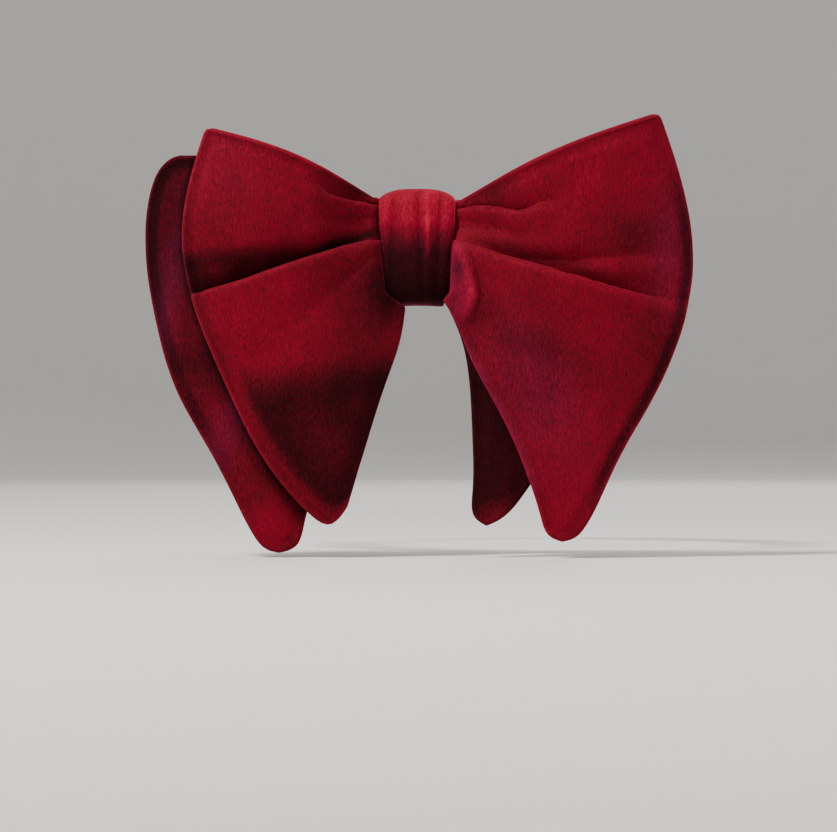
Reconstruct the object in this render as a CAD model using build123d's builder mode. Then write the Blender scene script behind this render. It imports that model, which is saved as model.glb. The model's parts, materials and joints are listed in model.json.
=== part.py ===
"""A pre-tied, drooping velvet bow tie on a hooked and adjustable neck band.

Two bows of doubled cloth lie one in front of the other, pinched at the middle and held by a
wrapped knot. A neck band runs through the knot: a left strap that ends in a metal eye, and a
right strap that carries a slider and ends in a metal hook.

Millimetres. The origin is the centre of the neck loop at mid width of the band. +Z is up along
the loop's axis, the bow is at -Y, and +X is to the right when the bow is looked at from the front.
Angles are plan angles about +Z from +X, so the knot is at -90 and the closure near +90.
"""

from build123d import *
import os
from math import cos, radians, sin

os.makedirs("parts", exist_ok=True)

# Neck band
neck_radius = 62.0          # inner radius of the closed loop
band_width = 16.0
strap_thickness = 1.4       # a cloth tube pressed flat, with its interlining
cloth = 0.4                 # one ply of the tube
seam_gap = 0.4              # the tube's two edges meet along the inside
tape_gap = 0.05             # interlining tape to cloth
hinge_angle = 13.3          # where each strap leaves the knot, from the front
rail_gap = 0.3              # cloth edge to metal side rail
centre_length = 25.6        # the straight run of band through the knot
centre_front = 64.7         # its faces, in front of the loop's axis
centre_back = 63.65

# Closure hardware
bar_radius = 0.7
bar_hole = 0.85             # radius of the cloth fold round a bar
eye_pivot = (-12.0, 62.5)
eye_angle = 100.87          # plan angle of eye_pivot
eye_loop = 1.6              # outer radius of the cloth round the eye's bar
eye_half = 10.1
eye_length = 13.3
eye_rail = 1.75             # width of the eye's end that the hook takes
plate = 0.8
hook_pivot = (12.0, 63.2)
hook_angle = 79.25          # plan angle of hook_pivot
hook_loop = 2.0             # outer radius of the cloth round the hook's bar
hook_tilt = 7.0             # the hook rests this far open
hook_half = 9.6
hook_reach = 14.9           # pivot to the far side of the bent tip
hook_plate = 0.9
plate_rise = 0.4            # plate's middle outside the bar's centre
shoulder = 4.2              # the hook narrows from here
tongue_start = 9.0          # to its tongue here
tongue_half = 3.2
tip_drop = 2.1              # height of the bent tip

# Left strap's end, folded back outside
fold_end = 112.0
fold_inner = neck_radius + 1.8
fold_thickness = 1.2
left_cavity = 114.0         # plan angle where the doubled cloth ends
bartack_count = 12

# Right strap: the outer layer passes outside the return layer
outer_layer_radius = neck_radius + 2.6
right_cavity = 70.0
return_end = 73.9
stub_start = 74.0           # the return layer goes on as part of the strap from here
slider_angle = 25.0
slider_travel = 14.0        # degrees the slider can move towards the hook
fold_reach = 9.0            # degrees of folded strap beside the slider's bar

# Slider: flanges and end bars outside the strap, one bar inside it
slider_rail = 1.3
slider_bar = 0.8
flange_angle = 6.2
web_angle = 2.0
end_bar_angle = 5.4
flange_radius = 65.9
slider_outer = 67.1
slider_inner = 62.9
fold_radii = (62.2, 64.3)   # the folded end's two faces
fold_gap_radii = (62.8, 63.8)

# Stack at the knot, front faces as distances in front of the loop's axis
wrap_front = 77.1
wrap_back = 62.3
front_bow_face_at = 71.85
back_bow_face_at = 67.95
bow_plies = (("face", 0.0, 0.9), ("interlining", 0.95, 0.65), ("back", 1.65, 0.9))

# Knot
knot_top = 16.0
knot_bottom = -16.4
knot_half_top = 11.3
knot_half_bottom = 8.8
wrap_wall = 1.3
middle_half_height = 12.5   # the pinched middle of each bow
middle_half_width = 7.0
root_x = 9.8                # the gathers open out below the pinch here
padding_width = 14.8
padding_height = 25.0
padding_drop = 0.5

# Wings seen from the front, for the +X side, as (x, z) from the knot's centre
# top: knot to the top corner; outer: down the outside, round the tip; inner: back to the knot
short_wing = dict(
    top=[(11.8, 13.8), (34.3, 26.1), (59.9, 34.0)],
    outer=[(59.9, 34.0), (66.7, 2.9), (54.4, -39.2), (31.7, -75.1), (25.0, -79.2), (19.8, -74.0)],
    inner=[(19.8, -74.0), (12.5, -49.5), (4.8, -26.5), (3.4, -17.4)],
)
long_wing = dict(
    top=[(11.8, 12.8), (38.0, 27.0), (68.7, 38.2)],
    outer=[(68.7, 38.2), (78.5, -5.4), (61.7, -51.6), (47.0, -80.5), (41.0, -84.2), (35.4, -79.0)],
    inner=[(35.4, -79.0), (24.6, -49.5), (14.2, -29.4), (8.3, -17.4)],
)
round_wing = dict(
    top=[(11.8, 12.8), (40.0, 21.5), (70.0, 25.9)],
    outer=[
        (70.0, 25.9), (77.8, 8.0), (72.3, -26.0), (60.5, -54.0), (46.6, -83.5), (38.5, -87.2), (32.0, -77.0),
    ],
    inner=[(32.0, -77.0), (20.3, -42.0), (8.3, -17.4)],
)
narrow_wing = dict(
    top=[(11.8, 12.8), (34.0, 22.0), (57.0, 28.0)],
    outer=[
        (57.0, 28.0), (66.0, 2.9), (54.4, -38.0), (32.2, -69.5), (22.5, -79.2), (15.4, -74.0),
    ],
    inner=[(15.4, -74.0), (15.4, -50.0), (13.6, -32.0), (8.3, -17.4)],
)
bow_bulge_at = 42.0         # a wing stands furthest forward here
bow_edge_at = 80.0
bow_root_at = 11.8


def at(radius, angle):
    """The plan point at this radius and plan angle."""
    return (radius * cos(radians(angle)), radius * sin(radians(angle)))


def sector(inner, outer, start, end):
    """Plan shape of a run of band between two radii and two plan angles."""
    with BuildSketch() as shape:
        with BuildLine():
            CenterArc((0, 0), outer, start, end - start)
            Line(at(outer, end), at(inner, end))
            CenterArc((0, 0), inner, start, end - start)
            Line(at(inner, start), at(outer, start))
        make_face()
    return shape.sketch


def bow_outline(left, right):
    """Front view of a bow, from two wings given for the +X side."""
    with BuildSketch() as shape:
        with BuildLine():
            for wing, side in ((left, -1), (right, 1)):
                top = [(side * x, z) for x, z in wing["top"]]
                outer = [(side * x, z) for x, z in wing["outer"]]
                inner = [(side * x, z) for x, z in wing["inner"]]
                Polyline((0, middle_half_height), (side * middle_half_width, middle_half_height), top[0])
                Spline(*top)
                Spline(*outer)
                Spline(*inner)
                Polyline(
                    inner[-1],
                    (side * root_x, inner[-1][1]),
                    (side * root_x, -middle_half_height - 2.5),
                    (side * middle_half_width, -middle_half_height),
                    (0, -middle_half_height),
                )
        make_face()
    return shape.sketch


def ply_plan(middle, bulge, edge, thickness):
    """Plan shape of one ply: flat through the knot, each wing an arc that swells forward."""
    with BuildSketch() as shape:
        with BuildLine():
            for back in (0, thickness):
                for side in (-1, 1):
                    root = (side * bow_root_at, back - middle)
                    furthest = (side * bow_bulge_at, back - bulge)
                    ThreePointArc(root, furthest, (side * bow_edge_at, back - edge))
                Line((-bow_root_at, back - middle), (bow_root_at, back - middle))
            for side in (-1, 1):
                Line((side * bow_edge_at, -edge), (side * bow_edge_at, thickness - edge))
        make_face()
    return shape.sketch


def knot_profile(inset):
    """Side view of the knot, as (y, z), drawn in from its outer surface."""
    depth = wrap_front - wrap_back - 2 * inset
    height = knot_top - knot_bottom - 2 * inset
    with BuildSketch() as shape:
        with Locations((-(wrap_front + wrap_back) / 2, (knot_top + knot_bottom) / 2)):
            Rectangle(depth, height)
        fillet(shape.vertices().group_by(Axis.X)[0], 4.5 - inset)
        fillet(shape.vertices().group_by(Axis.X)[-1], 2.0 - inset)
    return shape.sketch


def knot_front():
    """Front view of the knot, narrower at the bottom."""
    with BuildSketch() as shape:
        with BuildLine():
            Polyline(
                (-knot_half_top, knot_top),
                (knot_half_top, knot_top),
                (knot_half_bottom, knot_bottom),
                (-knot_half_bottom, knot_bottom),
                close=True,
            )
        make_face()
    return shape.sketch


def save(piece, name):
    """Label a finished piece and write it."""
    piece.part.label = name
    export_step(piece.part, f"parts/{name}.step")


# ---------------------------------------------------------------- the two bows
front_bow = bow_outline(short_wing, long_wing)
back_bow = bow_outline(round_wing, narrow_wing)
bows = (
    ("front_bow", front_bow, front_bow_face_at, 84.5, 78.5),
    ("back_bow", back_bow, back_bow_face_at, 75.5, 70.0),
)
for bow_name, outline, middle_at, bulge_at, edge_at in bows:
    for ply_name, depth, thickness in bow_plies:
        with BuildPart() as ply:
            with BuildSketch(Plane.XZ.offset(50)):
                add(outline)
            extrude(amount=50)
            with BuildSketch(Plane.XY.offset(-100)):
                add(ply_plan(middle_at - depth, bulge_at - depth, edge_at - depth, thickness))
            extrude(amount=200, mode=Mode.INTERSECT)
        save(ply, f"{bow_name}_{ply_name}")

# Three turns of thread round the pinched middle of each bow
thread = 0.5
thread_pitch = 0.9
thread_depth = 2.8          # across the plies, inside the thread
thread_half_height = middle_half_height + 0.1 + thread
for bow_name, face_at in (("front", front_bow_face_at), ("back", back_bow_face_at)):
    middle_y = -(face_at - 1.25)
    with BuildPart() as gather_thread:
        for turn in (-1, 0, 1):
            with BuildSketch(Plane.YZ.offset(turn * thread_pitch - thread / 2)):
                with Locations((middle_y, 0)):
                    Rectangle(thread_depth + 2 * thread, 2 * thread_half_height)
                    Rectangle(thread_depth, 2 * (thread_half_height - thread), mode=Mode.SUBTRACT)
            extrude(amount=thread)
    save(gather_thread, f"{bow_name}_gather_thread")

# ---------------------------------------------------------------- the knot
with BuildPart() as knot_wrap:
    with BuildSketch(Plane.YZ.offset(-20)):
        add(knot_profile(0))
        add(knot_profile(wrap_wall), mode=Mode.SUBTRACT)
    extrude(amount=40)
    with BuildSketch(Plane.XZ.offset(50)):
        add(knot_front())
    extrude(amount=50, mode=Mode.INTERSECT)
save(knot_wrap, "knot_wrap")

padding_back = front_bow_face_at + 0.75
padding_front = wrap_front - wrap_wall - 0.1
with BuildPart() as knot_padding:
    with BuildSketch(Plane.YZ.offset(-padding_width / 2)):
        with Locations((-(padding_front + padding_back) / 2, -padding_drop)):
            RectangleRounded(padding_front - padding_back, padding_height, 1.4)
    extrude(amount=padding_width)
    fillet(knot_padding.edges().filter_by(Axis.Z), 1.2)
save(knot_padding, "knot_padding")

# Slip stitches that close the wrap across its back
with BuildPart() as knot_closing_stitches:
    with BuildSketch(Plane.XZ.offset(wrap_back - 0.22)):
        with GridLocations(1.9, 1, 8, 1):
            SlotOverall(1.3, 0.5, rotation=25)
    extrude(amount=0.2)
save(knot_closing_stitches, "knot_closing_stitches")

# ---------------------------------------------------------------- the band through the knot
with BuildPart() as band_centre:
    with BuildSketch(Plane.XY.offset(-band_width / 2)):
        with Locations((0, -(centre_front + centre_back) / 2)):
            Rectangle(centre_length, centre_front - centre_back)
    extrude(amount=band_width)
save(band_centre, "band_centre")

with BuildPart() as band_tack_stitches:
    with BuildSketch(Plane.XZ.offset(centre_front + 0.02)):
        with GridLocations(13.0, 3.0, 2, 4):
            SlotOverall(2.4, 0.6)
    extrude(amount=0.4)
save(band_tack_stitches, "band_tack_stitches")


def strap_tube(inner, start, end, cavity_start, cavity_end):
    """A run of strap: a flat cloth tube whose two edges meet along the inside of the loop."""
    outer = inner + strap_thickness
    with BuildPart() as tube:
        with BuildSketch(Plane.XY.offset(-band_width / 2)):
            add(sector(inner, outer, start, end))
        extrude(amount=band_width)
        with BuildSketch(Plane.XY.offset(cloth - band_width / 2)):
            add(sector(inner + cloth, outer - cloth, cavity_start, cavity_end))
        extrude(amount=band_width - 2 * cloth, mode=Mode.SUBTRACT)
        with BuildSketch(Plane.XY.offset(-seam_gap / 2)):
            add(sector(inner - 1, inner + cloth + 0.01, cavity_start, cavity_end))
        extrude(amount=seam_gap, mode=Mode.SUBTRACT)
    return tube.part


def strap_interlining(inner, start, end):
    """The stiff tape inside a strap."""
    outer = inner + strap_thickness
    with BuildPart() as tape:
        with BuildSketch(Plane.XY.offset(cloth + 0.2 - band_width / 2)):
            add(sector(inner + cloth + tape_gap, outer - cloth - tape_gap, start, end))
        extrude(amount=band_width - 2 * cloth - 0.4)
    return tape.part


def stitch_row(inner, outer, start, end):
    """A bar tack: short threads side by side across the strap."""
    with BuildPart() as stitches:
        with BuildSketch(Plane.XY.offset(-0.35)):
            add(sector(inner, outer, start, end))
        extrude(amount=0.7)
    pitch = (band_width - 2.4) / (bartack_count - 1)
    return [
        Pos(0, 0, (index - (bartack_count - 1) / 2) * pitch) * stitches.part
        for index in range(bartack_count)
    ]


# ---------------------------------------------------------------- left strap and eye
left_start = 270 - hinge_angle
with BuildPart() as left_strap:
    add(strap_tube(neck_radius, eye_angle, left_start, left_cavity, left_start - 2))
    with BuildSketch(Plane.XY.offset(-band_width / 2)):
        add(sector(fold_inner, fold_inner + fold_thickness, eye_angle, fold_end))
        with Locations(at(neck_radius + strap_thickness / 2, left_start)):
            Circle(strap_thickness / 2)
        with Locations(eye_pivot):
            Circle(eye_loop)
    extrude(amount=band_width)
    with BuildSketch(Plane.XY.offset(-band_width / 2)):
        with Locations(eye_pivot):
            Circle(bar_hole)
    extrude(amount=band_width, mode=Mode.SUBTRACT)
save(left_strap, "left_strap")

with BuildPart() as left_strap_interlining:
    add(strap_interlining(neck_radius, left_cavity + 2, left_start - 4))
save(left_strap_interlining, "left_strap_interlining")

with BuildPart() as left_bartack:
    fold_face = fold_inner + fold_thickness + 0.02
    add(stitch_row(fold_face, fold_face + 0.2, fold_end - 3, fold_end - 0.8))
save(left_bartack, "left_bartack")

eye_x, eye_y = eye_pivot
rail_half = band_width / 2 + rail_gap
eye_middle = eye_x - 1.1 + eye_length / 2
with BuildPart() as eye:
    with BuildSketch(Plane.XZ.offset(-eye_y - plate / 2)):
        with Locations((eye_middle, 0)):
            RectangleRounded(eye_length, 2 * eye_half, 1.2)
        with Locations((eye_middle - eye_rail, 0)):
            RectangleRounded(eye_length - 0.3, 2 * rail_half, 1.0, mode=Mode.SUBTRACT)
    extrude(amount=plate)
    fillet(eye.edges().filter_by(GeomType.CIRCLE).sort_by(Axis.X)[-4:], 0.2)
    with BuildSketch(Plane.XY.offset(-rail_half - 0.5)):
        with Locations(eye_pivot):
            Circle(bar_radius)
    extrude(amount=2 * rail_half + 1.0)
save(eye, "eye")

# ---------------------------------------------------------------- right strap and hook
right_start = hinge_angle - 90
return_start = slider_angle + fold_reach + slider_travel + 0.5
with BuildPart() as right_strap:
    add(strap_tube(outer_layer_radius, right_start, hook_angle, right_start + 2, right_cavity))
    with BuildSketch(Plane.XY.offset(-band_width / 2)):
        add(sector(neck_radius, neck_radius + strap_thickness, stub_start, hook_angle))
        with Locations(at(outer_layer_radius + strap_thickness / 2, right_start)):
            Circle(strap_thickness / 2)
        with Locations(hook_pivot):
            Circle(hook_loop)
    extrude(amount=band_width)
    with BuildSketch(Plane.XY.offset(-band_width / 2)):
        with Locations(hook_pivot):
            Circle(bar_hole)
        add(sector(neck_radius + strap_thickness, outer_layer_radius, stub_start, hook_angle))
    extrude(amount=band_width, mode=Mode.SUBTRACT)
save(right_strap, "right_strap")

with BuildPart() as right_strap_interlining:
    add(strap_interlining(outer_layer_radius, right_start + 4, right_cavity - 2))
save(right_strap_interlining, "right_strap_interlining")

with BuildPart() as right_strap_return:
    with BuildSketch(Plane.XY.offset(-band_width / 2)):
        add(sector(neck_radius, neck_radius + strap_thickness, return_start, return_end))
    extrude(amount=band_width)
save(right_strap_return, "right_strap_return")

hook_plane = Plane(
    origin=(hook_pivot[0], hook_pivot[1], 0),
    x_dir=(cos(radians(hook_tilt)), -sin(radians(hook_tilt)), 0),
    z_dir=(0, 0, 1),
)
with BuildPart() as hook:
    with BuildSketch(hook_plane.offset(-hook_half)):
        with Locations(((hook_plate - hook_reach) / 2, plate_rise)):
            Rectangle(hook_reach + hook_plate, hook_plate)
        with Locations((hook_plate / 2 - hook_reach, plate_rise + (hook_plate - tip_drop) / 2)):
            Rectangle(hook_plate, tip_drop)
        Circle(hook_plate)
    extrude(amount=2 * hook_half)
    front_plane = Plane(origin=hook_plane.origin, x_dir=hook_plane.x_dir, z_dir=-hook_plane.y_dir)
    with BuildSketch(front_plane.offset(-5)) as hook_outline:
        with BuildLine():
            Polyline(
                (1.0, hook_half),
                (-shoulder, hook_half),
                (-tongue_start, tongue_half),
                (-hook_reach - 0.1, tongue_half),
                (-hook_reach - 0.1, -tongue_half),
                (-tongue_start, -tongue_half),
                (-shoulder, -hook_half),
                (1.0, -hook_half),
                close=True,
            )
        make_face()
        fillet(hook_outline.vertices(), 1.2)
    extrude(amount=10, mode=Mode.INTERSECT)
    with BuildSketch(front_plane.offset(-5)):
        Rectangle(4.8, 2 * rail_half)
    extrude(amount=10, mode=Mode.SUBTRACT)
    with BuildSketch(hook_plane.offset(-rail_half - 0.5)):
        Circle(bar_radius)
    extrude(amount=2 * rail_half + 1.0)
save(hook, "hook")

# ---------------------------------------------------------------- slider
def slider_rails(offset):
    """Both side rails of the slider: a long outer flange on a short web down to the bar."""
    with BuildSketch(Plane.XY.offset(offset)) as rails:
        add(sector(flange_radius, slider_outer, slider_angle - flange_angle, slider_angle + flange_angle))
        add(sector(slider_inner, slider_outer, slider_angle - web_angle, slider_angle + web_angle))
    return rails.sketch


with BuildPart() as slider:
    for base in (rail_half, -rail_half - slider_rail):
        add(slider_rails(base))
        extrude(amount=slider_rail)
    with BuildSketch(Plane.XY.offset(-rail_half - 0.1)):
        for middle in (slider_angle - end_bar_angle, slider_angle + end_bar_angle):
            add(sector(slider_outer - slider_bar, slider_outer, middle - 0.8, middle + 0.8))
        add(sector(slider_inner, slider_inner + slider_bar, slider_angle - 1.3, slider_angle + 1.3))
    extrude(amount=2 * rail_half + 0.2)
save(slider, "slider")

with BuildPart() as slider_fold:
    with BuildSketch(Plane.XY.offset(-band_width / 2)):
        add(sector(*fold_radii, slider_angle - 2.4, slider_angle + fold_reach))
        add(sector(*fold_gap_radii, slider_angle - 1.5, slider_angle + fold_reach + 0.1), mode=Mode.SUBTRACT)
    extrude(amount=band_width)
save(slider_fold, "slider_fold")

with BuildPart() as slider_bartack:
    stitch_inner, stitch_outer = fold_gap_radii
    add(stitch_row(stitch_inner + 0.02, stitch_outer - 0.02, slider_angle + 6.0, slider_angle + 8.0))
save(slider_bartack, "slider_bartack")
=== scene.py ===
"""The looks of a drooping, pre-tied velvet bow tie, built round its CAD frame.

Shapes are worked out in millimetres, and each mesh is scaled to metres as it is made. The bows are
gathered sheets of doubled velvet, the knot is a creased wrap, and the neck band is flat ribbon with a
metal hook, eye and slider.
"""

import json
import math

import bpy
import numpy as np
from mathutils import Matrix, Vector


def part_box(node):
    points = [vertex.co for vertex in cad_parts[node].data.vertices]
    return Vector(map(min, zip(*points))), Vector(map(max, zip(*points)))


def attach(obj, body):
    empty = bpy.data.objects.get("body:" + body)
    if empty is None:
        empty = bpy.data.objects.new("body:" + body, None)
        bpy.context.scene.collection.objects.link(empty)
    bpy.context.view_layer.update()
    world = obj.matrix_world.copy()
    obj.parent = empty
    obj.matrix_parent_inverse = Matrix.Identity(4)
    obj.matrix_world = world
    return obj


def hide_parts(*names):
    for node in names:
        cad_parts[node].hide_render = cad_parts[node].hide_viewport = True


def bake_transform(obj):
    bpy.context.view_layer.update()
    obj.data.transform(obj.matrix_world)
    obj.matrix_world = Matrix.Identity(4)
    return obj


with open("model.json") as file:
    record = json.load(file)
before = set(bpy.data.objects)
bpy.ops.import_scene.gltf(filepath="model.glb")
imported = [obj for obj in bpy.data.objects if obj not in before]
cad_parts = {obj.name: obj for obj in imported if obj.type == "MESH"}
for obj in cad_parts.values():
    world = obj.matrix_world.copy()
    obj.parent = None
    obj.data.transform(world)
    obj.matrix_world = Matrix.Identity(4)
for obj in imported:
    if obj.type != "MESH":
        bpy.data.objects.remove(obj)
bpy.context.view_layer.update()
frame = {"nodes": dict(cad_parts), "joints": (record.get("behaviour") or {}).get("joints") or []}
MM = 0.001


# ---- small tools
def smooth(x, low, high):
    """0 below low, 1 above high, and an even S between."""
    t = np.clip((np.asarray(x, float) - low) / (high - low), 0, 1)
    return t * t * (3 - 2 * t)


def bump(x, centre, width):
    """1 at the centre, falling away evenly over about the width."""
    return np.exp(-(((np.asarray(x, float) - centre) / width) ** 2))


def distances(line):
    """How far along a line of points each of them lies."""
    return np.concatenate([[0], np.cumsum(np.linalg.norm(np.diff(line, axis=0), axis=1))])


def unit(vectors):
    """Vectors of length 1, the same way round."""
    return vectors / np.maximum(np.linalg.norm(vectors, axis=-1, keepdims=True), 1e-9)


def looked_up(at, known, points):
    """The points at `at`, between the points given at the known values."""
    return np.stack([np.interp(at, known, column) for column in points.T], -1)


def along(points, at):
    """Points at the shares `at` of the length of a smooth curve through the given points."""
    p = np.asarray(points, float)
    t = distances(p)
    n = len(t)
    if n == 2:
        return p[0] + np.outer(at, p[1] - p[0])
    h = np.diff(t)
    system = np.eye(n)
    right = np.zeros_like(p)
    for i in range(1, n - 1):
        system[i, i - 1] = h[i - 1]
        system[i, i] = 2 * (h[i - 1] + h[i])
        system[i, i + 1] = h[i]
        right[i] = 6 * ((p[i + 1] - p[i]) / h[i] - (p[i] - p[i - 1]) / h[i - 1])
    bend = np.linalg.solve(system, right)
    fine = np.linspace(0, t[-1], 600)
    k = np.clip(np.searchsorted(t, fine, side="right") - 1, 0, n - 2)
    a = ((t[k + 1] - fine) / h[k])[:, None]
    b = 1 - a
    step = (h[k] ** 2)[:, None] / 6
    line = a * p[k] + b * p[k + 1] + ((a**3 - a) * bend[k] + (b**3 - b) * bend[k + 1]) * step
    length = distances(line)
    return looked_up(at, length / length[-1], line)


def spread(count, peaks):
    """count values from 0 to 1, set closer together round each (centre, width, density)."""
    t = np.linspace(0, 1, 4001)
    density = 1 + sum(k * bump(t, c, w) for c, w, k in peaks)
    total = np.concatenate([[0], np.cumsum((density[1:] + density[:-1]) / 2)])
    return np.interp(np.linspace(0, 1, count), total / total[-1], t)


def ripples(points, wavelength, seed):
    """Smooth, even unevenness of about -1 to 1, from a few seeded waves."""
    rng = np.random.default_rng(seed)
    count = 7
    value = np.zeros(points.shape[:-1])
    for _ in range(count):
        direction = rng.normal(size=points.shape[-1])
        direction /= np.linalg.norm(direction)
        k = 2 * math.pi / (wavelength * rng.uniform(0.7, 1.6))
        value += np.sin(points @ direction * k + rng.uniform(0, 2 * math.pi))
    return value / math.sqrt(count)


def added(name, data):
    """A new object in the scene."""
    new = bpy.data.objects.new(name, data)
    bpy.context.scene.collection.objects.link(new)
    return new


def make(name, points, faces, material, slot):
    """A smooth-shaded mesh object from points in millimetres."""
    mesh = bpy.data.meshes.new(name)
    mesh.from_pydata((np.asarray(points) * MM).tolist(), [], faces)
    mesh.validate()
    mesh.polygons.foreach_set("use_smooth", [True] * len(mesh.polygons))
    piece = added(name, mesh)
    mesh.materials.append(material)
    return piece


def lay_nap_shade_and_sheen(piece, tone, painted_sheen=0.0):
    """Writes at each point the velvet's tone, with painted shade and highlights over the pile's own lie, and
    its painted sheen.
    """
    painted_sheen = np.broadcast_to(painted_sheen, tone.shape)
    layers = (("tone", np.clip(tone, 0.02, 1.1), 0.45), ("painted_sheen", np.clip(painted_sheen, 0, 1), 0.0))
    for name, given, rest in layers:
        value = np.full(len(piece.data.vertices), rest)
        value[:given.size] = given.ravel()
        attribute = piece.data.attributes.new(name, "FLOAT", "POINT")
        attribute.data.foreach_set("value", value.astype(np.float32))


def spot_of(x, z, cx, cz, rx, rz, turn=0.0):
    """A soft oval, 1 at its middle: centre, radii, and turn in degrees."""
    a = math.radians(turn)
    dx, dz = x - cx, z - cz
    across = (dx * math.cos(a) + dz * math.sin(a)) / rx
    upward = (dz * math.cos(a) - dx * math.sin(a)) / rz
    return np.exp(-(across**2) - upward**2)


def shell(front, back):
    """Points and faces of a closed sheet between two grids that share their rims."""
    n, m = front.shape[:2]
    top = np.arange(n * m).reshape(n, m)
    under = top.copy()
    under[1:-1, 1:-1] = n * m + np.arange((n - 2) * (m - 2)).reshape(n - 2, m - 2)
    points = np.concatenate([front.reshape(-1, 3), back[1:-1, 1:-1].reshape(-1, 3)])
    quads = []
    for grid, turned in ((top, False), (under, True)):
        a, b, c, d = grid[:-1, :-1], grid[1:, :-1], grid[1:, 1:], grid[:-1, 1:]
        ring = (a, d, c, b) if turned else (a, b, c, d)
        quads.append(np.stack([q.ravel() for q in ring], axis=1))
    return points, np.concatenate(quads).tolist()


def wound(index, closed=False):
    """Quads between the rows of a grid of indices, each row a ring; closed joins last to first."""
    rows = index if closed else index[:-1]
    after = np.roll(index, -1, 0) if closed else index[1:]
    return np.stack([rows, after, np.roll(after, -1, 1), np.roll(rows, -1, 1)], -1).reshape(-1, 4).tolist()


def normals(grid):
    """Unit normals of a grid of points, on the side the second index turns to from the first."""
    return unit(np.cross(np.gradient(grid, axis=0), np.gradient(grid, axis=1)))


# ---- materials
def nodes_of(name):
    """A new material, with its node tree, its shader and the object's own coordinates."""
    material = bpy.data.materials.new(name)
    material.use_nodes = True
    tree = material.node_tree
    shader = tree.nodes["Principled BSDF"]
    place = tree.nodes.new("ShaderNodeTexCoord")
    return material, tree, shader, place.outputs["Object"]


def feed(tree, value, socket):
    """Gives a socket a number, a colour, or a link from another socket."""
    if isinstance(value, (float, int)):
        socket.default_value = value
    elif isinstance(value, tuple):
        socket.default_value = (*value, 1)
    else:
        tree.links.new(value, socket)


def feed_all(tree, node, **given):
    """Feeds a node's inputs, named with an underscore for each space."""
    for name, value in given.items():
        feed(tree, value, node.inputs[name.replace("_", " ")])


def noise(tree, place, scale, detail=3.0, stretch=(1, 1, 1), rough=0.55):
    """A noise value whose grain is about 1/scale metres, drawn out along an axis by stretch."""
    mapping = tree.nodes.new("ShaderNodeMapping")
    mapping.inputs["Scale"].default_value = stretch
    tree.links.new(place, mapping.inputs["Vector"])
    texture = tree.nodes.new("ShaderNodeTexNoise")
    feed_all(tree, texture, Scale=scale, Detail=detail, Roughness=rough, Vector=mapping.outputs["Vector"])
    return texture.outputs["Fac"]


def ramp(tree, value, stops):
    """Colours or greys along a value, as (position, colour)."""
    node = tree.nodes.new("ShaderNodeValToRGB")
    elements = node.color_ramp.elements
    while len(elements) < len(stops):
        elements.new(0.5)
    for element, (position, colour) in zip(elements, stops):
        element.position = position
        element.color = (*colour, 1)
    tree.links.new(value, node.inputs["Fac"])
    return node.outputs["Color"]


def greys(tree, value, *stops):
    """Greys along a value, as (position, grey)."""
    return ramp(tree, value, [(position, (grey,) * 3) for position, grey in stops])


def mixed(tree, factor, a, b, kind="MIX"):
    """Two colours mixed by a factor, or combined in another way."""
    node = tree.nodes.new("ShaderNodeMix")
    node.data_type = "RGBA"
    node.blend_type = kind
    for value, socket in ((factor, 0), (a, 6), (b, 7)):
        feed(tree, value, node.inputs[socket])
    return node.outputs[2]


def maths(tree, kind, a, b):
    """A sum, product and so on of two values or sockets."""
    node = tree.nodes.new("ShaderNodeMath")
    node.operation = kind
    for value, socket in zip((a, b), node.inputs):
        feed(tree, value, socket)
    return node.outputs[0]


def laid(tree, name):
    """What lay_nap_shade_and_sheen wrote on the mesh under this name."""
    node = tree.nodes.new("ShaderNodeAttribute")
    node.attribute_name = name
    return node.outputs["Fac"]


def bumped(tree, shader, heights):
    """Chain bump nodes from (height, strength, distance)."""
    last = None
    for height, strength, distance in heights:
        node = tree.nodes.new("ShaderNodeBump")
        feed_all(tree, node, Strength=strength, Distance=distance, Height=height)
        if last is not None:
            tree.links.new(last, node.inputs["Normal"])
        last = node.outputs["Normal"]
    tree.links.new(last, shader.inputs["Normal"])


def velvet_material():
    """Cut pile: dull face on, pale at a glance, and dark where the mesh's `tone` is low; that tone holds
    painted shade and highlights over the pile's own lie, and the mesh's painted_sheen adds a painted purple
    sheen.
    """
    material, tree, shader, place = nodes_of("velvet")
    grain = noise(tree, place, 2100, 2, (1, 1, 0.32))
    speck = noise(tree, place, 4200, 1)
    pile_tone = noise(tree, place, 26, 2, (1, 1, 0.8), 0.45)
    brushed = noise(tree, place, 150, 2, (1, 1, 0.5), 0.5)
    shade = laid(tree, "tone")
    for value, share in ((pile_tone, 0.24), (brushed, 0.16), (grain, 0.55), (speck, 0.35)):
        shade = maths(tree, "ADD", shade, maths(tree, "MULTIPLY", maths(tree, "SUBTRACT", value, 0.5), share))
    pile = ramp(tree, shade, [
        (0.0, (0.006, 0.0001, 0.0006)), (0.25, (0.028, 0.0002, 0.0022)), (0.5, (0.1, 0.0006, 0.0068)),
        (0.75, (0.22, 0.0014, 0.014)), (1.0, (0.4, 0.006, 0.032)),
    ])
    # painted sheen: a purple colour added where the mesh's painted_sheen is set, flecked by the grain
    painted_sheen_share = maths(tree, "MULTIPLY", laid(tree, "painted_sheen"), maths(tree, "ADD", grain, 0.5))
    feed_all(
        tree, shader, Base_Color=mixed(tree, painted_sheen_share, pile, (0.022, 0.002, 0.0115), "ADD"),
        Roughness=greys(tree, shade, (0.2, 0.95), (0.9, 0.72)), Specular_IOR_Level=0.1,
        Sheen_Weight=0.3, Sheen_Roughness=0.35, Sheen_Tint=(1.0, 0.05, 0.2),
    )
    bumped(tree, shader, [(pile_tone, 0.2, 0.0012), (grain, 0.5, 0.0004), (speck, 0.3, 0.0002)])
    return material


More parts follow.
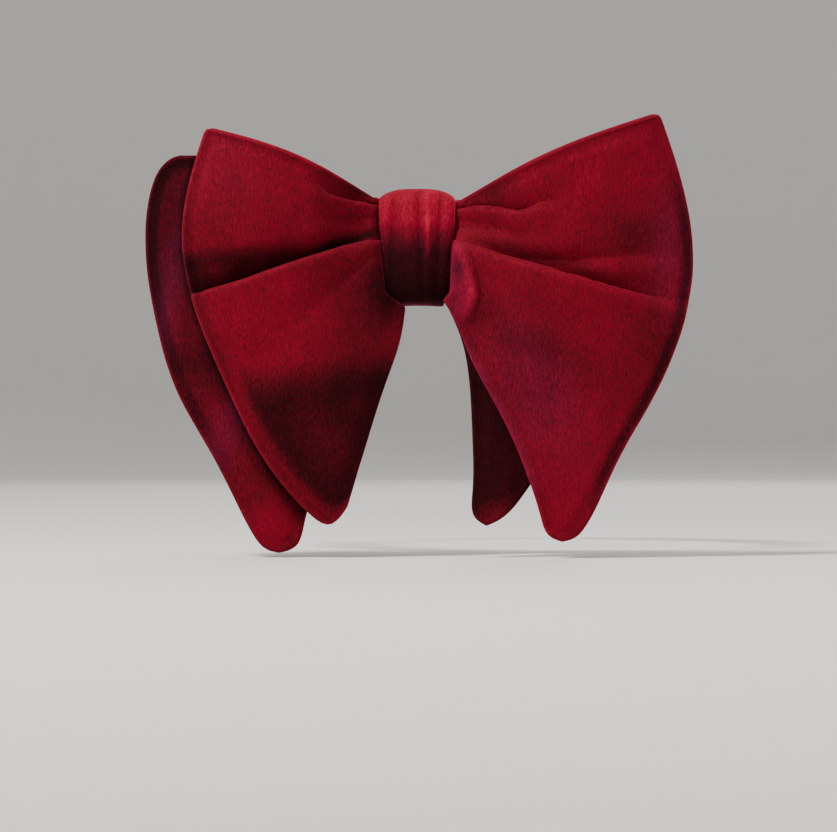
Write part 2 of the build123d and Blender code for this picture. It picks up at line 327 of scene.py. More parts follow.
def ribbon_material(name, ribs_per_m, colour, light):
    """Ribbed ribbon: fine ribs across the band, with a faint weave between them."""
    material, tree, shader, place = nodes_of(name)
    split = tree.nodes.new("ShaderNodeSeparateXYZ")
    tree.links.new(place, split.inputs[0])
    turn = maths(tree, "ARCTAN2", split.outputs["Y"], split.outputs["X"])
    wave = maths(tree, "SINE", maths(tree, "MULTIPLY", turn, ribs_per_m * 2 * math.pi * 0.063), 0.0)
    weave = noise(tree, place, 2600, 2, (1, 1, 1.6))
    tone = noise(tree, place, 90, 2)
    base = ramp(tree, weave, [(0.3, colour), (0.7, light)])
    shade = mixed(tree, 0.35, base, ramp(tree, tone, [(0.35, colour), (0.65, light)]))
    feed_all(
        tree, shader, Base_Color=mixed(tree, greys(tree, wave, (0.0, 0.0), (1.0, 0.6)), shade, light),
        Roughness=greys(tree, weave, (0.3, 0.62), (0.7, 0.42)), Specular_IOR_Level=0.3,
        Sheen_Weight=0.12, Sheen_Roughness=0.4, Sheen_Tint=(1.0, 0.15, 0.2),
    )
    bumped(tree, shader, [(wave, 0.7, 0.00012), (weave, 0.4, 0.0001)])
    return material


def plain_cloth(name, dark, light, scale, stretch=(1, 1, 1), strength=0.6):
    """Woven or felted cloth from two tones of one colour."""
    material, tree, shader, place = nodes_of(name)
    weave = noise(tree, place, scale, 3, stretch)
    tone = noise(tree, place, 60, 2)
    base = ramp(tree, weave, [(0.35, dark), (0.65, light)])
    shade = mixed(tree, 0.3, base, ramp(tree, tone, [(0.3, dark), (0.7, light)]))
    rough = greys(tree, weave, (0.3, 0.95), (0.7, 0.75))
    feed_all(tree, shader, Base_Color=shade, Roughness=rough, Sheen_Weight=0.3)
    bumped(tree, shader, [(weave, strength, 0.0003)])
    return material


def metal_material(name):
    """Nickel plate, polished, with faint draw marks and rubbed spots."""
    material, tree, shader, place = nodes_of(name)
    marks = noise(tree, place, 900, 3, (1, 1, 0.05))
    spots = noise(tree, place, 260, 4)
    shade = ramp(tree, spots, [(0.35, (0.42, 0.4, 0.37)), (0.6, (0.6, 0.58, 0.55))])
    rough = greys(tree, spots, (0.35, 0.28), (0.65, 0.12))
    feed_all(tree, shader, Base_Color=shade, Roughness=rough, Metallic=1.0)
    bumped(tree, shader, [(marks, 0.12, 0.00005)])
    return material


velvet = velvet_material()
ribbon = ribbon_material("band_ribbon", 900, (0.085, 0.001, 0.005), (0.24, 0.004, 0.014))
canvas = plain_cloth("canvas", (0.5, 0.46, 0.38), (0.76, 0.72, 0.63), 2200, (1, 1, 0.4))
felt = plain_cloth("felt", (0.66, 0.63, 0.58), (0.86, 0.84, 0.8), 900)
thread = plain_cloth("thread", (0.07, 0.001, 0.004), (0.3, 0.006, 0.02), 4200, (1, 1, 2.5), 0.9)
nickel = metal_material("nickel")


# ---- camera
knot_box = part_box("knot_wrap")
camera_data = bpy.data.cameras.new("camera")
camera = added("camera", camera_data)
bpy.context.scene.camera = camera
camera_distance = 1.25
frame_width = 0.2385
bow_plane = float(knot_box[0][1])
camera.location = (0.0004, bow_plane - camera_distance, -0.0482)
camera.rotation_euler = (math.radians(90), 0, 0)
camera_data.sensor_width = 36
camera_data.lens = 36 * camera_distance / frame_width


# ---- bows
NECK_COLUMNS = 16
WING_COLUMNS = 78
ROWS = 190

# The pinched middle of a bow, inside the knot
PINCH_HALF = 7.6
PINCH_TOP = 12.9
PINCH_HEIGHT = 26.6
FRONT_PINCH_Y = -70.6
BACK_PINCH_Y = -66.7
WING_START = 12.0

# Wings seen from the front, for the +X side, as (x, z)
short_wing = dict(
    top=[(12.6, 14.3), (34.3, 26.1), (59.9, 34.0)],
    outer=[(59.9, 34.0), (66.7, 2.9), (54.4, -39.2), (31.7, -75.1), (25.0, -79.2), (19.8, -74.0)],
    inner=[(3.4, -17.6), (4.8, -26.5), (8.6, -38.0), (12.5, -49.5), (19.8, -74.0)],
)
long_wing = dict(
    top=[(12.6, 13.6), (38.0, 27.0), (68.7, 38.2)],
    outer=[(68.7, 38.2), (78.5, -5.4), (65.6, -45.6), (57.8, -59.4), (52.6, -70.6), (48.3, -79.0),
           (44.8, -82.9), (41.2, -84.0)],
    inner=[(7.5, -15.6), (9.9, -19.4), (14.2, -29.4), (24.6, -49.5), (33.0, -70.0), (35.1, -77.0),
           (37.4, -82.2), (41.2, -84.0)],
)
round_wing = dict(
    top=[(12.6, 13.0), (40.0, 22.5), (65.5, 26.6)],
    outer=[(65.5, 26.6), (69.6, 25.9), (73.4, 22.9), (76.4, 16.0), (77.9, 4.0), (74.2, -24.0), (69.4, -39.6),
           (58.3, -60.0), (52.2, -72.0), (47.0, -82.0), (43.4, -86.2), (39.5, -87.4)],
    inner=[(8.3, -17.4), (20.3, -42.0), (30.0, -70.5), (32.2, -79.0), (34.8, -85.6), (39.5, -87.4)],
)
narrow_wing = dict(
    top=[(12.6, 13.0), (34.0, 22.0), (57.0, 28.0)],
    outer=[(57.0, 28.0), (66.0, 2.9), (54.4, -38.0), (31.8, -68.8), (23.0, -78.3), (19.8, -79.7)],
    inner=[(8.6, -16.6), (12.6, -26.0), (14.9, -38.0), (15.8, -54.0), (15.8, -70.0), (16.6, -77.4),
           (19.8, -79.7)],
)


def through(t, knots, values):
    """A smooth curve through the given values that never overshoots them."""
    h = np.diff(knots)
    rise = np.diff(values) / h
    slope = np.zeros(len(knots))
    for i in range(1, len(knots) - 1):
        if rise[i - 1] * rise[i] > 0:
            w1, w2 = 2 * h[i] + h[i - 1], h[i] + 2 * h[i - 1]
            slope[i] = (w1 + w2) / (w1 / rise[i - 1] + w2 / rise[i])
    k = np.clip(np.searchsorted(knots, t, side="right") - 1, 0, len(h) - 1)
    x = np.clip((t - knots[k]) / h[k], 0, 1)
    return (
        values[k] * (1 + 2 * x) * (1 - x) ** 2 + values[k + 1] * x * x * (3 - 2 * x)
        + h[k] * (slope[k] * x * (1 - x) ** 2 - slope[k + 1] * x * x * (1 - x))
    )


def pleat(vs, us, line, above, turn, below, back, front, lap):
    """A knife pleat across a sheet: how far it moves each row down the sheet, and forward.

    Each rule is a list of (u, value). line is the crest's place, as v; the cloth dives back over `above`,
    turns forward over `turn` to the crest, which laps over the dive, and settles over `below`. back and
    front are the depths of dive and crest in mm, and lap is how far the crest lies over the dive, as v.
    """
    shift = np.zeros((len(us), len(vs)))
    depth = np.zeros_like(shift)
    for i, u in enumerate(us):
        c, wa, wt, wb, deep, proud, over = (
            float(np.interp(u, [a for a, _ in rule], [b for _, b in rule]))
            for rule in (line, above, turn, below, back, front, lap)
        )
        c += over - wt
        knots = np.array([-wa, -0.45 * wa, 0, 0.5 * wt, wt, wt + 0.35 * wb, wt + wb])
        shift[i] = through(vs - c, knots, over * np.array([0, 0.35, 1, 0, -1, -0.45, 0]))
        depth[i] = through(
            vs - c, knots, np.array([0, -0.42 * deep, -deep, (proud - deep) / 2, proud, 0.72 * proud, 0])
        )
    return shift, depth


def gap_to(points, others):
    """Distance from each point of a grid to the nearest of some others."""
    nearest = np.full(points.shape[:2], 1e9)
    for start in range(0, len(others), 40):
        gap = points[:, :, None, :] - others[None, None, start:start + 40]
        nearest = np.minimum(nearest, np.sqrt((gap**2).sum(-1)).min(-1))
    return nearest


def wing_surface(side, vs, pinch_y, shape, neck, far, pleats, extra, pile_tone):
    """Middle surface of one wing from inside the knot outwards, and each point's distance to its rim."""
    us = spread(WING_COLUMNS, [(0, 0.06, 2.5), (1, 0.012, 14), (0.96, 0.06, 2)])
    top = along(shape["top"], us)
    inner = along(shape["inner"], us)
    u_neck = np.linspace(-1, 0, NECK_COLUMNS, endpoint=False)
    u_all = np.concatenate([u_neck, us])
    u_grid, v_grid = np.meshgrid(u_all, vs, indexing="ij")

    def entry_at(f):
        """Where the wing leaves the knot, seen from the front."""
        return np.stack([np.interp(f, neck["f"], neck["x"]), np.interp(f, neck["f"], neck["z"])], -1)

    def patch(u, f):
        """The flat front view at ray u and share f of the way from the top edge to the inner one."""
        t, b = looked_up(u, us, top), looked_up(u, us, inner)
        dense = np.linspace(0, 1, 500)
        rim = along(shape["outer"], dense)
        o = looked_up(f, dense, rim)
        f1, u1 = f[..., None], u[..., None]
        corner = (
            (1 - u1) * (1 - f1) * entry_at(0) + (1 - u1) * f1 * entry_at(1)
            + u1 * (1 - f1) * rim[0] + u1 * f1 * rim[-1]
        )
        return (1 - f1) * t + f1 * b + (1 - u1) * entry_at(f) + u1 * o - corner

    def crest(points):
        """Where a line of points on the wing runs, as (u, v)."""
        u_fine, f_fine = np.meshgrid(np.linspace(0, 1, 160), np.linspace(0, 1, 320), indexing="ij")
        flat = patch(u_fine, f_fine)
        found = []
        for spot in points:
            if spot[0] < WING_START:
                found.append((-0.5, (PINCH_TOP - spot[1]) / PINCH_HEIGHT))
                continue
            nearest = np.argmin(((flat - np.array(spot)) ** 2).sum(-1))
            found.append((u_fine.ravel()[nearest], f_fine.ravel()[nearest]))
        return found

    def place(u, f, ahead):
        """Points in space: a Bezier neck out of the knot, then the wing."""
        out = np.clip(u, 0, 1)
        flat = patch(out, f)
        start_y = np.interp(f, neck["f"], neck["y"])
        rise = smooth(out, 0, 0.36)
        y = start_y * (1 - rise) + far(flat[..., 0], flat[..., 1]) * rise
        spot = np.stack([flat[..., 0], y, flat[..., 1]], -1)
        inside = u < 0
        t = np.clip(u + 1, 0, 1)[..., None]
        height = PINCH_TOP - PINCH_HEIGHT * f
        root = np.stack([np.full_like(f, PINCH_HALF), np.full_like(f, pinch_y), height], -1)
        lead = root + np.array([4.2, -0.8, 0.0])
        hold = spot + np.stack([np.interp(f, neck["f"], neck[k]) for k in ("dx", "dy", "dz")], -1)
        curve = (1 - t) ** 3 * root + 3 * (1 - t) ** 2 * t * lead + 3 * (1 - t) * t**2 * hold + t**3 * spot
        spot = np.where(inside[..., None], curve, spot)
        spot[..., 1] -= ahead
        return spot

    moved = np.zeros_like(u_grid)
    forward = np.zeros_like(u_grid)
    pleats = [(crest(rules[0]), *rules[1:]) for rules in pleats]
    for rules in pleats:
        shift, depth = pleat(vs, u_all, *rules)
        ease = np.where(u_grid < 0, 0.22 + 0.78 * smooth(u_grid, -0.8, 0), 1)
        moved += shift
        forward += depth * ease

    plain = place(u_grid, v_grid, np.zeros_like(u_grid))
    outer_gap = gap_to(plain, plain[-1])
    rim_gap = np.minimum(outer_gap, gap_to(plain, np.concatenate([plain[:, 0], plain[:, -1]])))
    f = np.clip(v_grid + moved, 0, 1)
    spot = place(u_grid, f, forward)
    spot = extra(spot, u_grid, v_grid)
    blunt = np.exp(-((plain - plain[-1, 0]) ** 2).sum(-1) / 1.4**2)[..., None]
    outward = spot[-1, 0] - spot[-6, 6]
    spot -= blunt * 0.75 * outward / np.linalg.norm(outward)
    # the wing's pile_tone rule: the velvet's tone with painted shade and highlights in it, and a painted
    # sheen
    tone = pile_tone(spot[..., 0], spot[..., 2], u_grid, v_grid, rim_gap, outer_gap)
    spot[..., 0] *= side
    return spot, rim_gap, tone


def bow(name, left, right, pinch_y, seed):
    """Velvet front, velvet back and canvas of one bow, as three sheets from tip to tip."""
    closer = [(0, 0.012, 14), (1, 0.012, 14), (0.388, 0.035, 7), (0.36, 0.1, 1.5), (0.13, 0.08, 1.5)]
    vs = spread(ROWS, closer)
    sides = []
    for spec, side in ((left, -1), (right, 1)):
        sides.append(wing_surface(side, vs, pinch_y, **spec))
    middle = np.concatenate([sides[0][0][::-1], sides[1][0]])
    rim = np.concatenate([sides[0][1][::-1], sides[1][1]])
    tone = np.concatenate([sides[0][2][::-1], sides[1][2]])
    free = smooth(np.abs(middle[..., 0]), 13, 34)
    middle[..., 1] += 0.28 * free * ripples(middle, 26, seed) + 0.12 * free * ripples(middle, 11, seed + 1)
    out = normals(middle)
    if out[..., 1].mean() > 0:
        out = -out
    pinch = 0.55 + 0.45 * smooth(np.abs(middle[..., 0]), 9, 16)
    edge = np.sqrt(np.clip(1 - (1 - np.clip(rim / 1.25, 0, 1)) ** 2, 0, 1))
    field = 1.2 - 0.24 * smooth(rim, 1.1, 1.9) + 0.32 * smooth(rim, 3.3, 5.2)
    thick = (edge * field * pinch)[..., None]
    gap = (0.22 * np.clip(rim / 2.0, 0, 1) * pinch)[..., None]
    front_ply = shell(middle + out * thick, middle + out * gap)
    back_ply = shell(middle - out * thick * 0.85, middle - out * gap)
    face = make(f"{name}_velvet_face", *front_ply, velvet, "velvet")
    back = make(f"{name}_velvet_back", *back_ply, velvet, "velvet")
    # the face gets the wings' painted shade, highlights and sheen; the back gets a painted highlight rim and
    # painted shade in a band inside it
    lay_nap_shade_and_sheen(face, tone[..., 0], tone[..., 1])
    lay_nap_shade_and_sheen(back, 0.6 - 0.14 * bump(rim, 2.6, 1.4) + 0.1 * (1 - smooth(rim, 0.3, 1.2)))
    within = (slice(9, -9), slice(14, -14))
    core = middle[within]
    lift = (0.16 * np.clip(rim[within] / 2.0, 0, 1))[..., None] * out[within]
    lift[0] = lift[-1] = lift[:, 0] = lift[:, -1] = 0
    inner = make(f"{name}_canvas", *shell(core + lift, core - lift), canvas, "interlining")
    for piece, node in ((face, "face"), (back, "back"), (inner, "interlining")):
        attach(piece, "bow")
        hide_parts(f"{name}_{node}")


def swell(bulge, edge, lean):
    """How far forward a wing lies at (x, z): an arc across, leaning back towards the tip."""

    def at(x, z):
        return -(bulge - 0.0046 * (x - 42) ** 2 * np.where(x > 42, edge, 0.9)) + lean * smooth(-z, 20, 85)

    return at


neck_right = dict(
    f=[0, 0.3, 0.42, 0.6, 0.85, 1.0],
    x=[12.6, 13.4, 14.0, 14.8, 13.4, 7.5],
    z=[13.6, 5.0, 1.0, -5.0, -12.2, -15.6],
    y=[-73.5, -75.4, -79.0, -81.8, -82.0, -79.6],
    dx=[-3.0, -3.0, -4.4, -6.4, -5.4, 0.6],
    dy=[0.8, 0.8, 0.2, -0.4, -0.2, 1.0],
    dz=[0, 0, 0, 0, 0, 0.6],
)
neck_left = dict(
    f=[0, 0.3, 0.42, 0.6, 0.85, 1.0],
    x=[12.6, 13.4, 13.6, 13.0, 9.6, 3.4],
    z=[14.3, 4.4, 0.2, -5.4, -13.4, -17.6],
    y=[-73.5, -75.4, -78.4, -79.4, -78.4, -74.5],
    dx=[-3.0, -3.0, -3.8, -4.4, -0.6, 5.6],
    dy=[0.8, 0.8, 0.2, 0.0, 0.6, 0.6],
    dz=[0, 0, 0, 0, 0, 0.2],
)
neck_back = dict(
    f=[0, 0.4, 0.7, 1.0],
    x=[12.6, 13.2, 12.6, 8.3],
    z=[13.0, 2.0, -9.0, -17.4],
    y=[-67.6, -68.0, -68.2, -68.0],
    dx=[-3.0, -3.0, -2.6, 0.6],
    dy=[0.4, 0.4, 0.4, 0.4],
    dz=[0, 0, 0, 0.2],
)

top_pleat_left = (
    [(12.8, 11.4), (18.7, 11.9), (25.4, 13.6), (29.0, 15.2), (36.0, 18.5)],
    [(0, 0.05), (0.35, 0.07)],
    [(0, 0.035), (0.35, 0.04)],
    [(0, 0.08), (0.35, 0.1)],
    [(0, 1.4), (0.12, 2.2), (0.3, 1.2), (0.42, 0.0)],
    [(0, 0.8), (0.12, 1.2), (0.3, 0.6), (0.42, 0.0)],
    [(0, 0.024), (0.2, 0.024), (0.36, 0.0)],
)
main_pleat_left = (
    [(13.0, 0.8), (20.0, -0.9), (28.0, -3.4), (38.0, -6.9), (48.5, -10.7), (61.0, -14.4), (66.0, -15.8)],
    [(0, 0.11), (0.4, 0.11), (1, 0.12)],
    [(0, 0.035), (1, 0.035)],
    [(0, 0.12), (0.5, 0.16), (1, 0.18)],
    [(0, 1.3), (0.06, 2.4), (0.16, 4.2), (0.6, 5.8), (1, 4.6)],
    [(0, 1.2), (0.2, 2.2), (0.6, 2.6), (1, 2.2)],
    [(0, 0.03), (0.3, 0.032), (0.75, 0.028), (1, 0.022)],
)
top_pleat_right = (
    [(12.8, 10.2), (19.7, 10.6), (25.3, 9.7), (28.2, 8.9), (36.0, 9.6)],
    [(0, 0.05), (0.35, 0.08)],
    [(0, 0.035), (0.35, 0.045)],
    [(0, 0.08), (0.35, 0.09)],
    [(0, 1.4), (0.12, 2.4), (0.26, 2.4), (0.36, 0.9), (0.48, 0.0)],
    [(0, 0.8), (0.12, 1.2), (0.26, 1.0), (0.4, 0.0)],
    [(0, 0.024), (0.24, 0.026), (0.36, 0.0)],
)
main_pleat_right = (
    [(10.8, 2.2), (13.6, 0.0), (15.6, -0.8), (22.2, -2.8), (29.4, -5.0), (41.6, -8.7), (51.8, -11.7),
     (60.0, -14.4), (78.0, -20.5)],
    [(0, 0.1), (0.3, 0.1), (1, 0.12)],
    [(0, 0.035), (0.6, 0.035), (1, 0.045)],
    [(0, 0.12), (0.5, 0.16), (1, 0.2)],
    [(0, 1.4), (0.06, 2.2), (0.16, 4.0), (0.45, 4.2), (0.75, 2.6), (1, 0.6)],
    [(0, 1.2), (0.2, 2.2), (0.5, 2.0), (0.8, 1.2), (1, 0.3)],
    [(0, 0.03), (0.35, 0.03), (0.6, 0.024), (0.8, 0.012), (1, 0.0)],
)
soft_crease_right = (
    [(14.0, 0.0), (29.0, -4.2), (45.0, -6.0), (63.0, -6.2), (78.0, -6.8)],
    [(0, 0.05), (1, 0.07)],
    [(0, 0.03), (1, 0.04)],
    [(0, 0.06), (1, 0.08)],
    [(0, 0.0), (0.22, 0.0), (0.5, 1.3), (0.8, 1.0), (1, 0.2)],
    [(0, 0.0), (0.3, 0.0), (0.6, 0.5), (1, 0.0)],
    [(0, 0.0), (1, 0.0)],
)
back_pleat = (
    [(13.0, 1.5), (40.0, -5.0), (70.0, -12.0)],
    [(0, 0.06), (1, 0.12)],
    [(0, 0.04), (1, 0.06)],
    [(0, 0.12), (1, 0.2)],
    [(0, 1.2), (0.3, 2.2), (0.75, 0.8), (0.95, 0.0)],
    [(0, 0.6), (0.3, 1.0), (0.75, 0.4), (0.95, 0.0)],
    [(0, 0.026), (0.5, 0.016), (0.75, 0.0)],
)


def front_left_form(p, u, v):
    """The lower panel rolls away towards its inner edge, and its outer edge curls forward."""
    low = smooth(v, 0.55, 1.0) * smooth(u, 0.2, 0.8)
    p[..., 1] += 3.2 * low
    p[..., 1] -= 1.2 * bump(v, 0.2, 0.12) * smooth(u, 0.1, 0.6)
    return p


def roll_line(z):
    """How far out the fold beside the knot runs, at each height."""
    heights = [-21, -17, -13.7, -10.5, -7.3, -4.8, -1.3, 2.6]
    return np.interp(z, heights, [13.2, 15.3, 16.1, 15.6, 14.9, 14.3, 12.7, 11.0])


def front_right_form(p, u, v):
    """The lower panel folds up beside the knot, swells below the pleat and falls back towards the tip."""
    x, z = p[..., 0], p[..., 2]
    p[..., 1] -= 1.6 * bump(v, 0.56, 0.14) * smooth(u, 0.05, 0.4)
    p[..., 1] += 2.0 * smooth(v, 0.7, 1.0) * smooth(u, 0.3, 0.9)
    fold = roll_line(z)
    beside = smooth(-z, -2.0, 2.0) * (1 - smooth(-z, 17, 23)) * smooth(v, 0.4, 0.44)
    falling = 1 - 0.5 * smooth(x, fold, fold + 2.2) - 0.5 * smooth(x, fold + 2, fold + 12)
    p[..., 1] -= 2.2 * smooth(x, fold - 4.5, fold - 0.4) * falling * beside
    p[..., 1] += 0.9 * spot_of(x, z, 12.5, -6.2, 1.2, 2.4) * smooth(v, 0.4, 0.44)
    return p


def back_form(p, u, v):
    """The back bow's wings belly forward a little below their pleat."""
    p[..., 1] -= 0.8 * bump(v, 0.6, 0.2) * smooth(u, 0.1, 0.6)
    return p


# Each rule gives the pile's tone at points of one wing, with painted shade and highlights in it, and a
# painted sheen, from where they are in the front view and on the sheet, and from their distance to the whole
# rim and to the outer edge.
def edge_highlight_and_shade(rim, band, depth):
    """Painted highlight: a bright rim where the pile is seen edge on; then painted shade: a darker band where
    the doubled edge turns.
    """
    dark = depth * smooth(rim, 0.7, 1.5) * (1 - smooth(rim, band, band + 2.2))
    return 0.06 * (1 - smooth(rim, 0.2, 1.1)) - dark


def front_left_nap_and_painted_light(x, z, u, v, rim, outer):
    crest_z = np.interp(x, [12, 25, 38, 51, 64], [2.2, -0.6, -4.7, -9.7, -13.5])
    wedge_top = np.interp(x, [20, 28, 45, 62], [0.5, -0.6, -1.4, -3.4])
    # painted highlight along the rim and painted shade in a band inside it, away from the knot
    t = 0.58 + edge_highlight_and_shade(rim, 1.8, 0.08) * smooth(u, 0.05, 0.2)
    # painted light: a little lighter towards the top
    t += 0.06 * smooth(z, 8, 28)
    # painted shadow in the dive above the main pleat's crest, and a thin painted shadow line just over the
    # crest near the knot
    wedge = smooth(wedge_top - z, -3.4, 1.6) * smooth(z - crest_z, -0.3, 0.6)
    t -= 0.35 * wedge * (0.3 + 0.7 * smooth(x, 15, 27)) * (1 - 0.6 * spot_of(x, z, 57.5, -6.5, 4, 4))
    crease = bump(z, crest_z + 1.2, 1.5) * smooth(z - crest_z, -0.3, 0.4)
    t -= 0.34 * crease * smooth(x, 10, 13) * (1 - smooth(x, 22, 32))
    # painted shade over the lower panel, where it rolls away, with two lighter spots
    lower = smooth(-z - 0.1 * (x - 30), 30, 43) * (1 - smooth(u, 0.88, 0.96))
    t -= 0.34 * lower
    t += 0.1 * spot_of(x, z, 26, -55, 9, 6, 40) + 0.05 * spot_of(x, z, 17, -45, 5, 4)
    # painted shade beside the knot and down the lower root, and a painted shadow under the small top pleat
    t -= 0.37 * spot_of(x, z, 8.0, -11.0, 7.5, 10.0, 20)
    t -= 0.05 * spot_of(x, z, 16, -28, 8, 12) + 0.08 * spot_of(x, z, 15, -37, 8, 4)
    t -= 0.26 * spot_of(x, z, 16, 15.5, 6, 1.2, 12)
    # painted sheen high on the outer panel
    return np.stack([t, 0.3 * spot_of(x, z, 55, 22, 9, 10)], -1)


def front_right_nap_and_painted_light(x, z, u, v, rim, outer):
    crest_z = np.interp(x, [11, 14.6, 22, 28, 42, 52, 60, 78], [2.6, 0.7, -1, -2.6, -6.2, -9.2, -11.9, -17])
    # painted highlight along the rim and painted shade in a band inside it, with a darker, wider band along
    # the outer edge that fades out towards the top corner
    t = 0.57 + 0.6 * edge_highlight_and_shade(rim, 1.8, 0.08)
    t += edge_highlight_and_shade(outer, 2.4, 0.26) * smooth(-z, -26, -4) * (1 - smooth(v, 0.8, 0.93))
    # painted light: a little lighter towards the top; painted shade above the main pleat's crest, in a patch
    # high on the outer side and under the small pleat
    t += 0.04 * smooth(z, 5, 25)
    above = smooth(crest_z + 5.0 - z, 0, 4.5) * (1 - smooth(v, 0.40, 0.415))
    t -= 0.14 * above * smooth(x, 14, 26) * (1 - smooth(x, 44, 60))
    t -= 0.16 * spot_of(x, z, 60, 4, 9, 6)
    t -= 0.2 * spot_of(x, z, 22.5, 15.2, 6, 3.2, 22)
    # a painted highlight just below the crest, painted shade patches on the lower panel, and a lighter patch
    # near the tip
    t += 0.05 * bump(z, crest_z - 2.2, 2.0) * smooth(v, 0.4, 0.43) * smooth(u, 0.1, 0.3)
    t -= 0.12 * spot_of(x, z, 36, -29, 18, 6, -24)
    t -= 0.08 * spot_of(x, z, 66, -24, 8, 10)
    t += 0.05 * spot_of(x, z, 42, -68, 8, 12)
    # the fold beside the knot: a painted highlight along it, lighter lower down, painted shade over the rest
    # of it, in its hollow and just outside it
    fold = roll_line(z)
    rolled = smooth(-z, -2.6, 0.5) * (1 - smooth(-z, 17, 25)) * smooth(v, 0.4, 0.44)
    rolled = rolled * (1 - smooth(x, fold, fold + 0.8))
    t += rolled * (0.2 * bump(x, fold - 0.5, 1.0) + 0.12 * smooth(-z, 8, 12) - 0.1)
    t -= 0.24 * spot_of(x, z, 12.4, -6.4, 1.5, 2.6)
    t -= 0.08 * bump(x, fold + 1.6, 1.2) * smooth(-z, 1, 5) * (1 - smooth(-z, 14, 20))
    # darker where the painted sheen lies; painted sheen on the fold, high on the outer edge, across the lower
    # panel and along the lower inner edge
    t -= 0.05 * spot_of(x, z, 71, -1, 5, 17) + 0.06 * spot_of(x, z, 35, -42, 10, 20, 25)
    painted_sheen = 0.7 * rolled + 0.9 * spot_of(x, z, 71, -1, 5, 17) + 0.75 * spot_of(x, z, 35, -42, 10, 20, 25)
    inner_edge = smooth(v, 0.86, 0.95) * (1 - smooth(rim, 1.2, 3.0))
    painted_sheen += inner_edge * smooth(-z, 22, 34) * (1 - smooth(-z, 62, 72))
    return np.stack([t, painted_sheen], -1)


def back_left_nap_and_painted_light(x, z, u, v, rim, outer):
    # painted highlight along the rim and painted shade in a band inside it, fading out towards the tip
    t = 0.5 + edge_highlight_and_shade(rim, 3.0, 0.18) * (0.15 + 0.85 * smooth(z, -66, -46))
    # painted shadow cast along the front wing's outer edge, wider lower down
    over = along(short_wing["outer"], np.linspace(0, 1, 120))
    beside = np.sqrt(((np.stack([x, z], -1)[:, :, None] - over) ** 2).sum(-1)).min(-1)
    t -= 0.3 * (1 - smooth(beside, 0.3, 1.8)) + 0.14 * (1 - smooth(beside, 1.5, 5)) * smooth(-z, 18, 34)
    # painted shade: darker over the upper part and in one patch, lighter at the tip and in a streak
    t -= 0.14 * smooth(z, -36, -6) + 0.03 * smooth(z, 8, 20)
    t -= 0.16 * spot_of(x, z, 65, -33, 7, 5, 30)
    t += 0.14 * spot_of(x, z, 42, -80, 9, 8) + 0.04 * spot_of(x, z, 55, -48, 4, 14, 25)
    # painted sheen in two streaks
    painted_sheen = 0.8 * spot_of(x, z, 55, -54, 5, 16, 28) + 0.9 * spot_of(x, z, 70, -9, 3.5, 20, 8)
    return np.stack([t, painted_sheen], -1)


def back_right_nap_and_painted_light(x, z, u, v, rim, outer):
    # painted shade over the whole wing, which lies behind the front bow, with a painted highlight rim and a
    # lighter spot near the tip
    t = 0.17 + edge_highlight_and_shade(rim, 1.5, 0.05)
    t += 0.3 * spot_of(x, z, 22, -77.0, 7, 3.8, 30)
    return np.stack([t, np.zeros_like(t)], -1)


# each wing's pile_tone rule paints its shade, highlights and sheen
front_left = dict(
    shape=short_wing, neck=neck_left, far=swell(84.0, 1.0, 2.5),
    pleats=[top_pleat_left, main_pleat_left], extra=front_left_form, pile_tone=front_left_nap_and_painted_light,
)
front_right = dict(
    shape=long_wing, neck=neck_right, far=swell(84.6, 1.0, 2.0),
    pleats=[top_pleat_right, main_pleat_right, soft_crease_right], extra=front_right_form,
    pile_tone=front_right_nap_and_painted_light,
)
back_left = dict(
    shape=round_wing, neck=neck_back, far=swell(74.2, 0.9, 1.5),
    pleats=[back_pleat], extra=back_form, pile_tone=back_left_nap_and_painted_light,
)
back_right = dict(
    shape=narrow_wing, neck=neck_back, far=swell(74.2, 0.9, 1.0),
    pleats=[back_pleat], extra=back_form, pile_tone=back_right_nap_and_painted_light,
)


